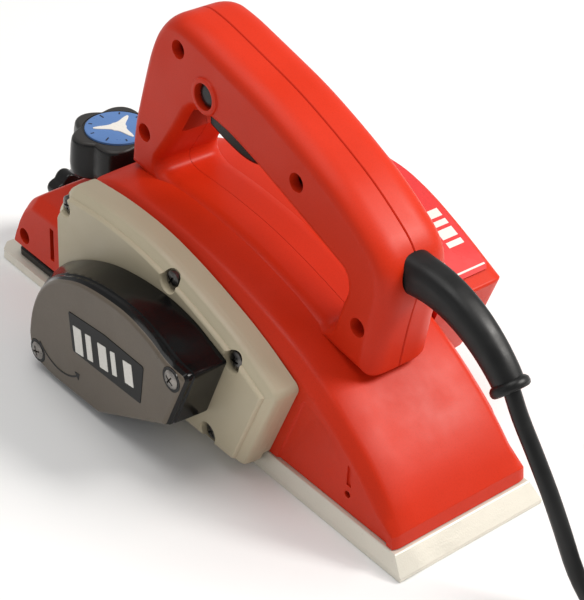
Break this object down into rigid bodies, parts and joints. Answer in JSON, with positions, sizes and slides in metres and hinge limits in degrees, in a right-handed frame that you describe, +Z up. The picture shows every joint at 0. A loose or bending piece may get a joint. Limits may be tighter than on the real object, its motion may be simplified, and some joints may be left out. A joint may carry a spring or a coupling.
{
  "type": "electric hand planer",
  "caption": "Hand-held electric planer: cutter drum between two soles, closed D-handle, depth knob with a dial, belt cover, motor end cover and a mains lead.",
  "frame": {"origin": "centre of the sole's rectangle, on the plane of the rear sole", "axes": "+X the planing direction, towards the depth knob; +Y towards the belt cover; +Z up"},
  "size_m": [0.4645, 0.1972, 0.17],
  "materials": {
    "red_plastic": "satin moulded red plastic",
    "beige_cast": "beige powder-coated casting, fine grain",
    "machined_aluminium": "milled, faint lengthwise lines",
    "black_plastic": "semi-gloss black plastic",
    "black_rubber": "matte black rubber",
    "cover_plastic": "dark grey-brown satin face, gloss sides",
    "dial_blue": "blue dial with a pale star",
    "steel": "bright steel",
    "dark_steel": "blackened steel",
    "copper": "turned copper",
    "carbon": "pressed carbon",
    "brass": "bright brass",
    "label_film": "printed film with plain marks"
  },
  "bodies": {
    "machine": {"main_housing": "red_plastic", "motor_end_cover": "red_plastic", "handle_left": "red_plastic", "handle_right": "red_plastic", "side_frame": "beige_cast", "rear_base": "machined_aluminium", "chip_chute": "black_plastic", "switch_body": "black_plastic", "drive_belt": "black_rubber", "cord_guard": "black_rubber", "cord": "black_rubber", "cord_coil": "black_rubber", "plug_body": "black_rubber", "belt_cover": "cover_plastic", "cord_clamp": "steel", "depth_spring": "steel", "drum_bearing_left": "steel", "drum_bearing_right": "steel", "motor_bearing_left": "steel", "motor_bearing_right": "steel", "cover_screw_1": "steel", "cover_screw_2": "steel", "field_stator": "dark_steel", "handle_screw_1": "dark_steel", "handle_screw_2": "dark_steel", "handle_screw_3": "dark_steel", "handle_screw_4": "dark_steel", "frame_screw_1": "dark_steel", "frame_screw_2": "dark_steel", "frame_screw_3": "dark_steel", "frame_screw_4": "dark_steel", "end_cover_screw_1": "dark_steel", "end_cover_screw_2": "dark_steel", "carbon_brush_1": "carbon", "carbon_brush_2": "carbon", "brush_holder_1": "brass", "brush_holder_2": "brass", "plug_pin_1": "brass", "plug_pin_2": "brass", "label_plate": "label_film"},
    "depth_knob_body": {"depth_knob": "black_plastic", "dial_plate": "dial_blue", "depth_screw": "steel"},
    "front_base_body": {"front_base": "machined_aluminium", "front_base_carrier": "black_plastic"},
    "drum_body": {"cutter_drum": "machined_aluminium", "blade_1": "steel", "blade_2": "steel", "blade_clamp_1": "dark_steel", "blade_clamp_2": "dark_steel", "drum_pulley": "dark_steel"},
    "armature_body": {"armature": "dark_steel", "commutator": "copper", "fan": "black_plastic", "motor_pulley": "dark_steel"},
    "trigger_body": {"trigger": "black_plastic"},
    "lock_button_body": {"lock_button": "black_plastic"},
    "fence_knob_body": {"fence_clamp_knob": "black_plastic"}
  },
  "joints": [
    {"name": "depth_knob_turn", "type": "hinge", "parent": "machine", "child": "depth_knob_body", "pos_m": [0.103, 0, 0.07], "axis": [0, 0, -1], "range_deg": [0, 360]},
    {"name": "front_base_lift", "type": "slide", "parent": "machine", "child": "front_base_body", "axis": [0, 0, 1], "range_m": [0, 0.003], "deforming": ["depth_spring"]},
    {"name": "armature_spin", "type": "hinge", "parent": "machine", "child": "armature_body", "pos_m": [-0.025, 0, 0.048], "axis": [0, 1, 0], "continuous": true},
    {"name": "drum_spin", "type": "hinge", "parent": "machine", "child": "drum_body", "pos_m": [0.034, 0, 0.0267], "axis": [0, 1, 0], "continuous": true},
    {"name": "trigger_pull", "type": "hinge", "parent": "machine", "child": "trigger_body", "pos_m": [-0.017, 0, 0.13], "axis": [0, -1, 0], "range_deg": [0, 7], "stiffness_Nm_per_rad": 0.5, "springref_deg": -11.46},
    {"name": "lock_button_press", "type": "slide", "parent": "machine", "child": "lock_button_body", "axis": [0, -1, 0], "range_m": [0, 0.003], "stiffness_N_per_m": 300, "springref_m": -0.002},
    {"name": "fence_clamp_turn", "type": "hinge", "parent": "machine", "child": "fence_knob_body", "pos_m": [0.145, 0.002, 0.027], "axis": [1, 0, 0], "range_deg": [0, 360]}
  ],
  "couplings": [
    {"joint": "depth_knob_turn", "follows": "front_base_lift", "rad_per_m": 2094},
    {"joint": "drum_spin", "follows": "armature_spin", "ratio": 1.08}
  ]
}
